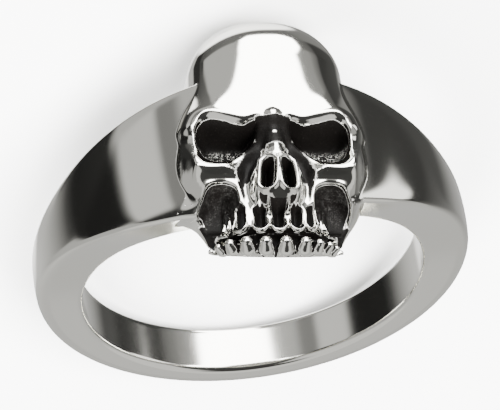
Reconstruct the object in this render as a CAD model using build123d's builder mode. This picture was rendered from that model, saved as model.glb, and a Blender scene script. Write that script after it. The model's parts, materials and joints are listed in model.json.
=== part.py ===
from build123d import *

import os
from math import asin, copysign, cos, degrees, hypot, pi, radians, sin

# A skull ring, cast in one piece. Lengths are in millimetres and angles in degrees.
# It is drawn upright first: the finger hole runs along Z, the skull looks towards -Y
# and its crown is up. At the end the whole ring is laid down as it rests on a table.

# Finger hole and shank
BORE_DIAMETER = 19.8
WALL_FRONT = 3.6
WALL_BACK = 1.8
WIDTH_FRONT = 9.0
WIDTH_NECK = 4.6
WIDTH_SIDE = 3.1
WIDTH_BACK = 3.0
EDGE_ROUND = 0.4

# Head: heights are measured from the middle of the shank
CROWN_HEIGHT = 8.8
CHIN_DROP = 7.6
HEAD_WIDTH = 10.6
HEAD_AXIS = 10.4
FACE_DEPTH = 3.6
DOME_HEIGHT = 3.7
HEAD_TWIST = 5.0
HEAD_SWING = 3.4

# Eye sockets and cheekbones
SOCKET_WIDTH = 3.7
SOCKET_HEIGHT = 3.1
SOCKET_SPACING = 5.3
SOCKET_LEVEL = -0.35
SOCKET_DEPTH = 2.3
CHEEKBONE_THICKNESS = 1.2
CHEEKBONE_DEPTH = 1.6
CHEEKBONE_INSET = 0.9
CHEEKBONE_TURN = 14
CHEEKBONE_LEAN = 6
BROW_BUMP = 1.1

# Nose
NOSE_WIDTH = 2.9
NOSE_HEIGHT = 4.6
NOSE_RISE = 1.1
RIDGE_WIDTH = 1.6
RIDGE_LEVEL = -1.6
TIP_HEIGHT = 2.9
TIP_LEVEL = -3.2
NOSTRIL_WIDTH = 0.8
NOSTRIL_HEIGHT = 2.0
NOSTRIL_DEPTH = 1.5
NOSTRIL_LEAN = 7
SEPTUM = 0.35

# Cheek hollows
HOLLOW_WIDTH = 2.5
HOLLOW_HEIGHT = 3.0
HOLLOW_SPACING = 6.6
HOLLOW_LEVEL = -4.4
HOLLOW_DEPTH = 2.0
HOLLOW_INSET = 0.6
HOLLOW_TURN = 20

# Teeth stand on a squarish arch, seen from below
ARCH_WIDTH = 8.0
ARCH_DEPTH = 3.1
ARCH_SQUARENESS = 2.8
ARCH_RISE = 0.8
UPPER_EDGE = -6.2
UPPER_GROOVES = 7
UPPER_PITCH = 12.8
GROOVE_WIDTH = 0.42
GROOVE_LENGTH = 1.55
GROOVE_DEPTH = 0.5
GROOVE_FOOT = 0.35
MOUTH_GAP = 0.35
MOUTH_DEPTH = 0.8
MOUTH_BACK = 1.6
LOWER_TEETH = 10
LOWER_PITCH = 14.5
LOWER_TOOTH_WIDTH = 1.0
LOWER_TOOTH_HEIGHT = 1.1
LOWER_TOOTH_SET = 0.45
TOOTH_DROP = 0.36

# Underside of the jaw: the chin's lip, the height where the slope eases, and the wall
# that is left in front of the finger hole
JAW_LIP = 1.0
JAW_THICKNESS = 2.7
JAW_HEIGHT = 1.5
JAW_WALL = 0.9

# The head replaces the middle of the shank's front over this share of its own width
CLEARED_SHARE = 0.7

# Behind the crown and the jaw the hole is this much wider all round
RELIEF = 0.4

# Resting on its crown, the ring rolls this far sideways
REST_ROLL = 3.5
TILT_STEPS = 12

bore_radius = BORE_DIAMETER / 2
outer_radius = (BORE_DIAMETER + WALL_FRONT + WALL_BACK) / 2
outer_centre = (WALL_BACK - WALL_FRONT) / 2
shank_front = outer_centre - outer_radius
shank_back = outer_centre + outer_radius
face_front = HEAD_AXIS + FACE_DEPTH
dome_base = CROWN_HEIGHT - DOME_HEIGHT

# Where the shank's width is given: shares of its reach from the finger hole's middle
NECK_PLACE = 0.55
SIDE_PLACE = 0.17

# Sections of the head below the dome, from the chin up. Columns: height from chin (0)
# to dome (1), share of half the width, share of the depth, squareness (2 is an ellipse).
HEAD_SECTIONS = (
    (0.000, 0.58, 0.74, 2.6),
    (0.050, 0.66, 0.80, 2.6),
    (0.120, 0.71, 0.86, 2.7),
    (0.230, 0.76, 0.91, 2.9),
    (0.340, 0.85, 0.93, 3.2),
    (0.450, 0.99, 0.93, 3.8),
    (0.620, 1.00, 0.95, 3.8),
    (0.740, 0.96, 0.99, 3.4),
    (0.870, 0.86, 1.00, 2.7),
    (1.000, 0.85, 1.00, 2.3),
)
# Places on the dome, as shares of a quarter turn from its base to its top
DOME_PLACES = (0.28, 0.52, 0.73, 0.90)

# Outline of the right socket, as shares of its width and height about its middle
SOCKET_OUTLINE = (
    (-0.49, 0.38),
    (-0.26, 0.33),
    (0.00, 0.40),
    (0.25, 0.50),
    (0.42, 0.47),
    (0.50, 0.22),
    (0.48, -0.12),
    (0.40, -0.38),
    (0.18, -0.50),
    (-0.06, -0.48),
    (-0.25, -0.36),
    (-0.42, -0.15),
    (-0.50, 0.12),
)
# Size of that outline in front of the face, half way down and at the socket's floor
SOCKET_SHARES = (1.15, 0.95, 0.60)

# The mouth gap is drawn wider than the teeth, to run out at the sides
MOUTH_REACH = 1.5

# Cutters start this far in front of the face, and nearer where the nose is beside them
CUT_START = 1.5
GROOVE_START = 0.8

SECTION_POINTS = 16


def egg(width, depth, height):
    """A solid egg with its three diameters along X, Y and Z."""
    return scale(Sphere(0.5), by=(width, depth, height))


def head_section(level, half_width, depth, squareness):
    """A level section of the head, a rounded oval that grows squarer with its squareness."""
    points = []
    for step in range(SECTION_POINTS):
        turn = 2 * pi * step / SECTION_POINTS
        across = copysign(abs(cos(turn)) ** (2 / squareness), cos(turn))
        along = copysign(abs(sin(turn)) ** (2 / squareness), sin(turn))
        points.append((half_width * across, depth * along - HEAD_AXIS))
    with BuildSketch(Plane.XY.offset(level)) as section:
        with BuildLine():
            Spline(*points, periodic=True)
        make_face()
    return section.sketch.face()


def arch_plane(angle, height, inset):
    """A plane on the arch of teeth that faces out of the mouth, with its X axis level."""
    across = sin(radians(angle))
    along = (1 - abs(across) ** ARCH_SQUARENESS) ** (1 / ARCH_SQUARENESS)
    lean = copysign(abs(across) ** (ARCH_SQUARENESS - 1), across) / ARCH_WIDTH * 2
    outward = Vector(lean, -(along ** (ARCH_SQUARENESS - 1)) / ARCH_DEPTH, 0).normalized()
    place = Vector(across * ARCH_WIDTH / 2, -HEAD_AXIS - along * ARCH_DEPTH, height + ARCH_RISE * across**2)
    return Plane(origin=place - outward * inset, x_dir=(-outward.Y, outward.X, 0), z_dir=outward)


def socket_face(y, share):
    """The right socket's outline, shrunk about its middle, on a plane that faces forward."""
    with BuildSketch(Plane.XZ.offset(-y)) as outline:
        with BuildLine():
            Spline(
                *[
                    (
                        SOCKET_SPACING / 2 + SOCKET_WIDTH * across * share,
                        SOCKET_LEVEL + SOCKET_HEIGHT * up * share,
                    )
                    for across, up in SOCKET_OUTLINE
                ],
                periodic=True,
            )
        make_face()
    return outline.sketch.face()


# Shank: a ring with its outer wall off centre, cut to its width seen from the side
with BuildPart() as shank:
    with BuildSketch(Plane.XY.offset(-WIDTH_FRONT / 2)):
        with Locations((0, outer_centre)):
            Circle(outer_radius)
        Circle(bore_radius, mode=Mode.SUBTRACT)
    extrude(amount=WIDTH_FRONT)
    with BuildSketch(Plane.YZ):
        with BuildLine():
            upper = Spline(
                (shank_front, WIDTH_FRONT / 2),
                (-outer_radius * NECK_PLACE, WIDTH_NECK / 2),
                (outer_radius * SIDE_PLACE, WIDTH_SIDE / 2),
                (shank_back, WIDTH_BACK / 2),
            )
            lower = mirror(upper, about=Plane.XZ)
            Line(upper @ 0, lower @ 0)
            Line(upper @ 1, lower @ 1)
        make_face()
    extrude(amount=outer_radius, both=True, mode=Mode.INTERSECT)
    rims = shank.edges().filter_by(GeomType.BSPLINE)
    fillet(rims, radius=EDGE_ROUND)

# Sockets: wide at the face and narrower at the floor
with BuildPart() as sockets:
    loft(
        sections=[
            socket_face(-face_front - CUT_START, SOCKET_SHARES[0]),
            socket_face(-face_front + SOCKET_DEPTH / 2, SOCKET_SHARES[1]),
            socket_face(-face_front + SOCKET_DEPTH, SOCKET_SHARES[2]),
        ]
    )
    mirror(about=Plane.YZ)

# Mouth gap: it curves up at its ends and runs round outside the gums
with BuildPart() as mouth:
    mouth_end = MOUTH_REACH * ARCH_WIDTH / 2
    mouth_rise = UPPER_EDGE + MOUTH_REACH**2 * ARCH_RISE
    with BuildSketch(Plane.XZ.offset(HEAD_AXIS + MOUTH_BACK)):
        with BuildLine():
            lip = ThreePointArc((-mouth_end, mouth_rise), (0, UPPER_EDGE), (mouth_end, mouth_rise))
            sill = ThreePointArc(
                (-mouth_end, mouth_rise - MOUTH_GAP),
                (0, UPPER_EDGE - MOUTH_GAP),
                (mouth_end, mouth_rise - MOUTH_GAP),
            )
            Line(lip @ 0, sill @ 0)
            Line(lip @ 1, sill @ 1)
        make_face()
    extrude(amount=FACE_DEPTH + CUT_START - MOUTH_BACK)
    gums = head_section(
        -CHIN_DROP, ARCH_WIDTH / 2 - MOUTH_DEPTH, ARCH_DEPTH - MOUTH_DEPTH, ARCH_SQUARENESS
    )
    extrude(gums, amount=CHIN_DROP, mode=Mode.SUBTRACT)

# Rounded forms that are set on the head
cheekbone = egg(SOCKET_WIDTH, CHEEKBONE_DEPTH, CHEEKBONE_THICKNESS)
nose_ridge = egg(RIDGE_WIDTH, RIDGE_WIDTH, NOSE_HEIGHT)
nose_tip = egg(NOSE_WIDTH, 2 * NOSE_RISE, TIP_HEIGHT)
brow_bump = egg(BROW_BUMP, BROW_BUMP, BROW_BUMP)
cheek_hollow = egg(HOLLOW_WIDTH, 2 * HOLLOW_DEPTH, HOLLOW_HEIGHT)
lower_tooth = egg(LOWER_TOOTH_WIDTH, LOWER_TOOTH_HEIGHT, LOWER_TOOTH_HEIGHT)

# Skull without its features: level ovals from the chin to the dome's base, then the dome
# up to its top point
with BuildPart() as skull:
    sections = []
    for height, width, depth, squareness in HEAD_SECTIONS:
        level = height * (dome_base + CHIN_DROP) - CHIN_DROP
        sections.append(head_section(level, width * HEAD_WIDTH / 2, depth * FACE_DEPTH, squareness))
    for place in DOME_PLACES:
        level = dome_base + DOME_HEIGHT * sin(place * pi / 2)
        shrink = cos(place * pi / 2)
        sections.append(
            head_section(level, shrink * width * HEAD_WIDTH / 2, shrink * depth * FACE_DEPTH, squareness)
        )
    loft(sections=[*sections, Vertex(0, -HEAD_AXIS, CROWN_HEIGHT)])

with BuildPart() as head:
    add(skull.part)

    # Cheekbones along the lower rims of the sockets
    for side in (-1, 1):
        spot = (side * SOCKET_SPACING / 2, -face_front + CHEEKBONE_INSET, SOCKET_LEVEL - SOCKET_HEIGHT / 2)
        with Locations(Location(spot, (0, -side * CHEEKBONE_LEAN, side * CHEEKBONE_TURN))):
            add(cheekbone)
    # Nose, and the bump above it where the brows meet
    with Locations((0, -face_front, RIDGE_LEVEL)):
        add(nose_ridge)
    with Locations((0, -face_front, TIP_LEVEL)):
        add(nose_tip)
    with Locations((0, -face_front, SOCKET_LEVEL + SOCKET_HEIGHT / 2 - BROW_BUMP / 4)):
        add(brow_bump)

    add(sockets.part, mode=Mode.SUBTRACT)

    # Nostrils, each a slot that leans out at its foot
    for side in (-1, 1):
        spot = (side * (SEPTUM + NOSTRIL_WIDTH) / 2, -face_front - CUT_START, TIP_LEVEL)
        with BuildSketch(Plane(origin=spot, x_dir=(1, 0, 0), z_dir=(0, -1, 0))):
            SlotOverall(NOSTRIL_HEIGHT, NOSTRIL_WIDTH, rotation=90 + side * NOSTRIL_LEAN)
        extrude(amount=-CUT_START - NOSTRIL_DEPTH, mode=Mode.SUBTRACT)

    # Cheek hollows, which open a little to the sides
    for side in (-1, 1):
        spot = (side * HOLLOW_SPACING / 2, -face_front + HOLLOW_INSET, HOLLOW_LEVEL)
        with Locations(Location(spot, (0, 0, side * HOLLOW_TURN))):
            add(cheek_hollow, mode=Mode.SUBTRACT)

    # Grooves of the upper teeth
    groove_level = UPPER_EDGE + GROOVE_FOOT + GROOVE_LENGTH / 2
    for tooth in range(UPPER_GROOVES):
        angle = (tooth - (UPPER_GROOVES - 1) / 2) * UPPER_PITCH
        with BuildSketch(arch_plane(angle, groove_level, -GROOVE_START)):
            SlotOverall(GROOVE_LENGTH, GROOVE_WIDTH, rotation=90)
        extrude(amount=-GROOVE_START - GROOVE_DEPTH, mode=Mode.SUBTRACT)

    add(mouth.part, mode=Mode.SUBTRACT)

    # Lower teeth
    for tooth in range(LOWER_TEETH):
        angle = (tooth - (LOWER_TEETH - 1) / 2) * LOWER_PITCH
        level = UPPER_EDGE - MOUTH_GAP - LOWER_TOOTH_HEIGHT * TOOTH_DROP
        with Locations(arch_plane(angle, level, LOWER_TOOTH_SET).location):
            add(lower_tooth)

    # The jaw's underside slopes up to the finger hole
    with BuildSketch(Plane.YZ):
        with BuildLine():
            Polyline(
                (-face_front + JAW_LIP, -CHIN_DROP - CUT_START),
                (-face_front + JAW_LIP, -CHIN_DROP),
                (-face_front + JAW_THICKNESS, -CHIN_DROP + JAW_HEIGHT),
                (-bore_radius - JAW_WALL, -WIDTH_FRONT / 2),
                (-bore_radius + CUT_START, -WIDTH_FRONT / 4),
                (-bore_radius + CUT_START, -CHIN_DROP - CUT_START),
                close=True,
            )
        make_face()
    extrude(amount=HEAD_WIDTH, both=True, mode=Mode.SUBTRACT)

# The casting: the head sits a little twisted on the shank
head_place = Location((0, 0, 0), (0, 0, HEAD_SWING)) * Location((0, 0, 0), (0, HEAD_TWIST, 0))
with BuildPart() as upright:
    add(shank.part)
    with Locations(head_place):
        add(skull.part, mode=Mode.SUBTRACT)
        Box(
            HEAD_WIDTH * CLEARED_SHARE,
            2 * face_front,
            WIDTH_FRONT + CUT_START,
            align=(Align.CENTER, Align.MAX, Align.CENTER),
            mode=Mode.SUBTRACT,
        )
        add(head.part)
    Cylinder(bore_radius, 3 * CROWN_HEIGHT, mode=Mode.SUBTRACT)
    # Behind the crown and the jaw the hole is a little wider
    for way, start in ((Align.MIN, WIDTH_FRONT / 2), (Align.MAX, -WIDTH_FRONT / 2)):
        with Locations((0, 0, start)):
            Cylinder(
                bore_radius + RELIEF,
                CROWN_HEIGHT,
                align=(Align.CENTER, Align.CENTER, way),
                mode=Mode.SUBTRACT,
            )

# The ring lies crown down: the dome and the back of the shank touch the table
tilt = 0.0
for _ in range(TILT_STEPS):
    dome_reach = hypot(FACE_DEPTH * sin(tilt), DOME_HEIGHT * cos(tilt))
    drop = dome_reach - EDGE_ROUND + (dome_base - WIDTH_BACK / 2 + EDGE_ROUND) * cos(tilt)
    tilt = asin(drop / (HEAD_AXIS + shank_back - EDGE_ROUND))
turned = (
    Location((0, 0, 0), (0, REST_ROLL, 0))
    * Location((0, 0, 0), (-degrees(tilt), 0, 0))
    * Location((0, 0, 0), (0, 180, 0))
)
corners = upright.part.moved(turned).bounding_box()
seat = Location((-corners.center().X, -corners.center().Y, -corners.min.Z))

with BuildPart() as skull_ring:
    with Locations(seat * turned):
        add(upright.part)

os.makedirs("parts", exist_ok=True)
skull_ring.part.label = "skull_ring"
export_step(skull_ring.part, "parts/skull_ring.step")
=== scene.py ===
"""A heavy cast skull ring in polished silver with blackened recesses, lying on its side.

The band is one rounded profile carried round the finger hole. The skull is cast relief: its forms are
joined and cut as fields of distances, and the surface is the place where the field is zero.
"""

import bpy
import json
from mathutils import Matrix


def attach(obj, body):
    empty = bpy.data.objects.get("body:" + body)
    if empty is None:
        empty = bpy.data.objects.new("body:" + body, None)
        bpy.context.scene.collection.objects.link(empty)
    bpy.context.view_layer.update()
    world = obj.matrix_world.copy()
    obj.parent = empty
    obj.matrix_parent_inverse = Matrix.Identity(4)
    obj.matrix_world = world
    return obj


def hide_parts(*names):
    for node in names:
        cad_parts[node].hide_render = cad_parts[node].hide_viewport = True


bl_info = {
    "name": "Cast Skull Ring",
    "version": (1, 0, 0),
    "blender": (4, 5, 0),
    "location": "View3D > Sidebar > Skull Ring",
    "description": "Builds a cast silver skull ring with blackened recesses, its stage and its light",
    "category": "Add Mesh",
}

import json
import math

import bpy
import numpy as np
from mathutils import Matrix, Vector

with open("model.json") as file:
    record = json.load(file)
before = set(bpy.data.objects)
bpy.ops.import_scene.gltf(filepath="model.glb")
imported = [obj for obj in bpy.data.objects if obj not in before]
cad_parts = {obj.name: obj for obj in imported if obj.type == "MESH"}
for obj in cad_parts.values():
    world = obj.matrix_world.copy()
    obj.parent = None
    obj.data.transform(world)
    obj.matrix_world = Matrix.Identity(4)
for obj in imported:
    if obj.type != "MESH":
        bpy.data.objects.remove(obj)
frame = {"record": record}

# The ring's own frame is upright, in millimetres: X to the viewer's right, the skull looks
# towards -Y and its crown is up. It is turned crown down to lie on the table.
MM = 0.001
X, Y, Z = range(3)
NODE = "skull_ring"
HOLE = next(mount for mount in frame["record"]["mounts"] if mount["name"] == "finger_hole")


def turn(axis, angle):
    """Turns about an axis by an angle in degrees."""
    c, s = math.cos(math.radians(angle)), math.sin(math.radians(angle))
    after, last = (axis + 1) % 3, (axis + 2) % 3
    matrix = np.eye(3)
    matrix[after, after] = matrix[last, last] = c
    matrix[last, after], matrix[after, last] = s, -s
    return matrix


# How the ring lies: it rolls sideways and leans back, with its crown on the table
REST_ROLL = 3.5
REST_TILT = 19.02
REST_TURN = turn(Y, REST_ROLL) @ turn(X, -REST_TILT) @ turn(Y, 180)
# The hole's wall ends lower at the chin, so its middle lies this much nearer the crown
WALL_SHIFT = 0.3145
HOLE_MIDDLE = np.array(HOLE["pos_m"]) + WALL_SHIFT * MM * np.array(HOLE["axis"])
# The skull sits a little twisted on the band
HEAD_TWIST = 5.0
HEAD_SWING = 3.4
HEAD_TURN = turn(Z, HEAD_SWING) @ turn(Y, HEAD_TWIST)


def laid_down(points):
    """Upright points in millimetres, turned and moved to where the ring lies, in metres."""
    return points @ REST_TURN.T * MM + HOLE_MIDDLE


# Settings

def length(name, description, metres):
    """A length that the panel shows."""
    return bpy.props.FloatProperty(name=name, description=description, default=metres, unit="LENGTH")


def bearing(name, description, degrees):
    """An angle that the panel shows."""
    return bpy.props.FloatProperty(
        name=name, description=description, default=math.radians(degrees), subtype="ANGLE"
    )


def colour(name, description, red_green_blue):
    """A colour that the panel shows."""
    return bpy.props.FloatVectorProperty(
        name=name, description=description, default=red_green_blue, subtype="COLOR", min=0, max=1
    )


class BandSizes(bpy.types.PropertyGroup):
    """Sizes of the band that goes round the finger."""

    hole: length("Hole", "Diameter of the finger hole", 0.0198)
    outer: length("Outer", "Radius of the outer wall", 0.0126)
    offset: length("Offset", "How far the outer wall's middle lies towards the skull", 0.0009)
    edge_front: length("Shoulder edge", "Rounding of the edges at the skull", 0.00022)
    edge_back: length("Back edge", "Rounding of the edges at the back", 0.00062)
    crowning: length("Crowning", "How much the outer wall bulges between its edges", 0.00012)


class SkullSizes(bpy.types.PropertyGroup):
    """Sizes of the skull."""

    crown: length("Crown", "Height of the crown above the band's middle", 0.00906)
    chin: length("Chin", "Depth of the chin below the band's middle", 0.0076)
    axis: length("Axis", "Distance from the finger hole's middle to the head's own middle", 0.0104)
    depth: length("Depth", "Depth of the face in front of the head's middle", 0.0036)
    dome: length("Dome", "Height of the dome above the temples", 0.00382)
    cell: length("Cell", "Spacing of the lattice on which the skull's surface is found", 0.00006)


class SilverLook(bpy.types.PropertyGroup):
    """Colours and finish of the metal."""

    silver: colour("Silver", "Colour of the polished metal", (0.86, 0.85, 0.80))
    # This dark colour is the patina of the recesses, and also the painted shade between the lower teeth and
    # the painted dark reflection on the nose's bridge
    dark_patina_and_shade: colour("Blackening", "Colour of the blackened recesses", (0.0022, 0.0019, 0.0017))
    polish: bpy.props.FloatProperty(
        name="Polish", description="Roughness of the metal", default=0.07, min=0, max=1, subtype="FACTOR"
    )


class StageLook(bpy.types.PropertyGroup):
    """The table, the light and the camera."""

    table: colour("Table", "Colour of the table", (0.92, 0.92, 0.91))
    table_size: length("Table size", "Side of the table top", 3.0)
    distance: length("Camera distance", "From the camera to the finger hole's middle", 0.25)
    below: bearing("Camera below", "How far below the face the camera looks from", 30.3)
    aside: bearing("Camera aside", "How far to the side the camera stands", 6.7)
    roll: bearing("Camera roll", "How far the camera is rolled", 9.2)


# Curves and fields of distances

def smooth_least(a, b, blend):
    """The smaller of two fields, rounded where they meet over the blend's length."""
    share = np.clip(0.5 + 0.5 * (b - a) / blend, 0, 1)
    return b + (a - b) * share - blend * share * (1 - share)


def smooth_most(a, b, blend):
    """The greater of two fields, rounded where they meet over the blend's length."""
    return -smooth_least(-a, -b, blend)


def step_up(low, high, value):
    """Goes smoothly from 0 at low to 1 at high."""
    t = np.clip((value - low) / (high - low), 0, 1)
    return t * t * (3 - 2 * t)


def within(value, rise, fall):
    """1 between two stretches: smoothly up over the first and down over the second."""
    return step_up(*rise, value) * (1 - step_up(*fall, value))


def bell(distance, height, width):
    """A smooth rise of a height that fades over a width."""
    return height * np.exp(-((distance / width) ** 2))


def natural_spline(places, values, at):
    """A smooth curve through values at rising places: cubic pieces with equal slopes and bends."""
    gaps = np.diff(places)
    count = len(places)
    rows = np.eye(count)
    right = np.zeros(count)
    for i in range(1, count - 1):
        rows[i, i - 1 : i + 2] = gaps[i - 1], 2 * (gaps[i - 1] + gaps[i]), gaps[i]
        right[i] = 6 * ((values[i + 1] - values[i]) / gaps[i] - (values[i] - values[i - 1]) / gaps[i - 1])
    bends = np.linalg.solve(rows, right)
    at = np.clip(at, places[0], places[-1])
    k = np.clip(np.searchsorted(places, at) - 1, 0, count - 2)
    gap, left, rest = gaps[k], at - places[k], places[k + 1] - at
    return (
        bends[k] * rest**3 / (6 * gap)
        + bends[k + 1] * left**3 / (6 * gap)
        + (values[k] / gap - bends[k] * gap / 6) * rest
        + (values[k + 1] / gap - bends[k + 1] * gap / 6) * left
    )


def cubic_stretches(before, here, after, next_after, samples):
    """Points on cubic stretches from here to after, each led by its neighbours."""
    t = np.linspace(0, 1, samples, endpoint=False)[:, None]
    return np.concatenate([
        0.5 * (2 * b + (c - a) * t + (2 * a - 5 * b + 4 * c - d) * t**2 + (3 * b - a - 3 * c + d) * t**3)
        for a, b, c, d in zip(before, here, after, next_after)
    ])


def closed_curve(points, samples):
    """A smooth closed curve through the points."""
    return cubic_stretches(*(np.roll(points, shift, 0) for shift in (1, 0, -1, -2)), samples)


def open_curve(points, samples):
    """A smooth open curve through the points."""
    points = np.asarray(points, float)
    ends = np.vstack([2 * points[0] - points[1], points, 2 * points[-1] - points[-2]])
    curve = cubic_stretches(ends[:-3], ends[1:-2], ends[2:-1], ends[3:], samples)
    return np.concatenate([curve, points[-1:]])


def from_line(u, v, line):
    """Distance in a plane to a line of straight pieces, and the share of the line passed there."""
    best = np.full(u.shape, np.inf)
    share = np.zeros(u.shape)
    pieces = len(line) - 1
    for i in range(pieces):
        (au, av), (bu, bv) = line[i], line[i + 1]
        du, dv = bu - au, bv - av
        t = np.clip(((u - au) * du + (v - av) * dv) / (du * du + dv * dv), 0, 1)
        gap = (u - au - t * du) ** 2 + (v - av - t * dv) ** 2
        nearer = gap < best
        best = np.where(nearer, gap, best)
        share = np.where(nearer, (i + t) / pieces, share)
    return np.sqrt(best), share


def from_outline(u, v, outline):
    """Signed distance in a plane to a closed outline: less than 0 inside."""
    gap, _ = from_line(u, v, np.vstack([outline, outline[:1]]))
    inside = np.zeros(u.shape, bool)
    for (au, av), (bu, bv) in zip(outline, np.roll(outline, -1, 0)):
        if av != bv:
            crosses = ((av > v) != (bv > v)) & (u < (bu - au) * (v - av) / (bv - av) + au)
            inside ^= crosses
    return np.where(inside, -gap, gap)


# Values that are divided by are no less than these
TINY, TINIEST = 1e-6, 1e-9


def from_egg(x, y, z, middle, radii):
    """Nearly the distance to an egg with its three radii along X, Y and Z."""
    x, y, z = x - middle[X], y - middle[Y], z - middle[Z]
    rx, ry, rz = radii
    near = np.sqrt((x / rx) ** 2 + (y / ry) ** 2 + (z / rz) ** 2)
    slope = np.sqrt((x / rx**2) ** 2 + (y / ry**2) ** 2 + (z / rz**2) ** 2)
    return near * (near - 1) / np.maximum(slope, TINY)


def from_rod(x, y, z, start, end, start_radius, end_radius):
    """Distance to a rod with round ends whose radius changes evenly along it."""
    x, y, z = x - start[X], y - start[Y], z - start[Z]
    wx, wy, wz = np.subtract(end, start)
    t = np.clip((x * wx + y * wy + z * wz) / (wx * wx + wy * wy + wz * wz), 0, 1)
    gap = (x - t * wx) ** 2 + (y - t * wy) ** 2 + (z - t * wz) ** 2
    return np.sqrt(gap) - start_radius - t * (end_radius - start_radius)


class Carving:
    """A field over points that forms are added to and cut from, each only inside its own box.

    The forms are functions of X, the depth behind the front of the face, and Z. BOXES holds the boxes
    of the forms that reach as far to the left as to the right.
    """

    def __init__(self, x, deep, z, start, filled):
        self.x, self.deep, self.z, self.value = x, deep, z, start
        self.filled = filled

    def inside(self, box):
        """Which points lie in a box, given by its name or its lowest and highest corners."""
        if isinstance(box, str):
            half, before, behind, bottom, top = BOXES[box]
            box = (-half, -before, bottom), (half, behind, top)
        low, high = box
        return (
            (self.x > low[X]) & (self.x < high[X])
            & (self.deep > low[Y]) & (self.deep < high[Y])
            & (self.z > low[Z]) & (self.z < high[Z])
        )

    def add(self, form, box, blend):
        """Joins a form to the field inside a box."""
        here = self.inside(box)
        if here.any():
            made = form(self.x[here], self.deep[here], self.z[here])
            self.value[here] = smooth_least(self.value[here], made, blend)

    def cut(self, form, box, blend, recess=False):
        """Takes a form out of the field inside a box, unless it is a recess that stays filled."""
        here = self.inside(box)
        if here.any() and not (recess and self.filled):
            made = form(self.x[here], self.deep[here], self.z[here])
            blend = blend[here] if isinstance(blend, np.ndarray) else blend
            self.value[here] = smooth_most(self.value[here], -made, blend)

    def raise_by(self, height, box):
        """Moves the surface outwards by a height inside a box."""
        here = self.inside(box)
        if here.any():
            self.value[here] -= height(self.x[here], self.deep[here], self.z[here])


# The skull in its own frame, in millimetres. Level sections of the head from the chin up to the
# crown. Columns: height, half width, depth in front of the head's middle, squareness.
HEAD_LEVELS = np.array([
    (-7.60, 3.05, 2.66, 2.6),
    (-6.97, 3.50, 2.88, 2.6),
    (-6.08, 3.75, 3.10, 2.7),
    (-5.20, 4.05, 3.22, 2.8),
    (-4.40, 4.48, 3.30, 3.0),
    (-3.28, 4.96, 3.34, 3.4),
    (-1.88, 5.24, 3.36, 3.8),
    (0.27, 5.28, 3.40, 3.8),
    (1.80, 5.05, 3.54, 3.4),
    (3.45, 4.58, 3.58, 3.0),
    (5.10, 4.39, 3.50, 2.7),
    (7.10, 4.27, 3.43, 2.5),
    (9.10, 4.20, 3.38, 2.4),
])

# Lines on the right half of the face, across and up: the rim of the socket, the brow, the cheekbone
# that curls round the socket, the valley beside the nose down to the teeth, and the cheek hollow
SOCKET_OUTLINE = (
    (0.84, 0.83), (1.69, 0.67), (2.65, 0.89), (3.50, 1.16), (4.12, 1.00), (4.46, 0.30), (4.43, -0.72),
    (4.13, -1.60), (3.32, -1.99), (2.43, -1.92), (1.73, -1.52), (1.10, -0.82), (0.80, 0.02),
)
BROW_LINE = ((0.35, 1.05), (0.95, 1.02), (1.70, 0.92), (2.65, 1.14), (3.55, 1.44), (4.30, 1.40), (4.80, 0.70))
CHEEKBONE_LINE = (
    (1.80, -2.05), (2.45, -2.50), (3.25, -2.64), (4.05, -2.42), (4.66, -1.72), (4.92, -0.80), (4.96, 0.10),
)
VALLEY_LINE = ((0.95, -0.95), (1.45, -2.05), (1.72, -3.10), (1.62, -4.25))
HOLLOW_OUTLINE = (
    (2.05, -3.55), (2.45, -3.10), (3.10, -2.95), (3.75, -3.15), (4.25, -3.80), (4.58, -4.65),
    (4.95, -5.60), (4.20, -5.95), (3.10, -5.90), (2.30, -5.75), (2.00, -4.80),
)
SOCKET = closed_curve(SOCKET_OUTLINE, 6)
BROW = open_curve(BROW_LINE, 6)
CHEEKBONE = open_curve(CHEEKBONE_LINE, 6)
VALLEY = open_curve(VALLEY_LINE, 4)
HOLLOW = closed_curve(HOLLOW_OUTLINE, 4)

# Arches that the teeth stand on: half width, depth in front of the head's middle, squareness
UPPER_ARCH = (2.95, 3.20, 2.6)
LOWER_ARCH = (3.70, 3.04, 2.4)
# Teeth: place along their arch and half width
UPPER_TEETH = (
    (-3.25, 0.40), (-2.12, 0.50), (-0.98, 0.48), (0.0, 0.48), (1.00, 0.46), (1.84, 0.38), (2.58, 0.34),
    (3.28, 0.32),
)
LOWER_TEETH = (
    (-4.95, 0.30), (-4.25, 0.31), (-3.58, 0.32), (-2.78, 0.42), (-1.80, 0.50), (-0.74, 0.50), (0.36, 0.52),
    (1.46, 0.48), (2.34, 0.38), (3.05, 0.34), (3.70, 0.31), (4.35, 0.30), (5.00, 0.30),
)

# Boxes round the forms. Columns: half width, how far they reach in front of the face and behind
# it, bottom and top.
BOXES = {
    "ridges": (6, 2, 4.1, -8.2, 4.2),
    "valleys": (6, 2, 1.2, -8.2, 2.6),
    "cheek": (6, 2, 3.6, -4.2, -1.8),
    "underside": (6, 2, 5.5, -9, -2.0),
    "below_jaw": (6, 2, 5.5, -9, -6.0),
    "sockets": (5.2, 2, 3, -2.6, 2.6),
    "nose": (1.6, 2, 2, -3.2, 1.2),
    "bulb": (2.6, 2, 2, -5.6, -0.6),
    "bump": (1.2, 1, 1.5, 0.0, 2.0),
    "nostril_rims": (1.8, 2, 0.5, -5.2, -1.4),
    "nostrils": (1.8, 2, 1.5, -5.2, -1.2),
    "hollows": (6, 2, 3.0, -6.6, -2.3),
    "mouth": (6, 2, 2.4, -7.2, -4.6),
    "inner_gum": (3, 0, 3.6, -7.4, -5.2),
    "upper_gum": (3.8, 1, 3.6, -6.8, -2.4),
    "gum_front": (6, 2, 3.6, -9, -5.8),
    "under_teeth": (6, 2, 5.5, -9, -4.9),
}


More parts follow.
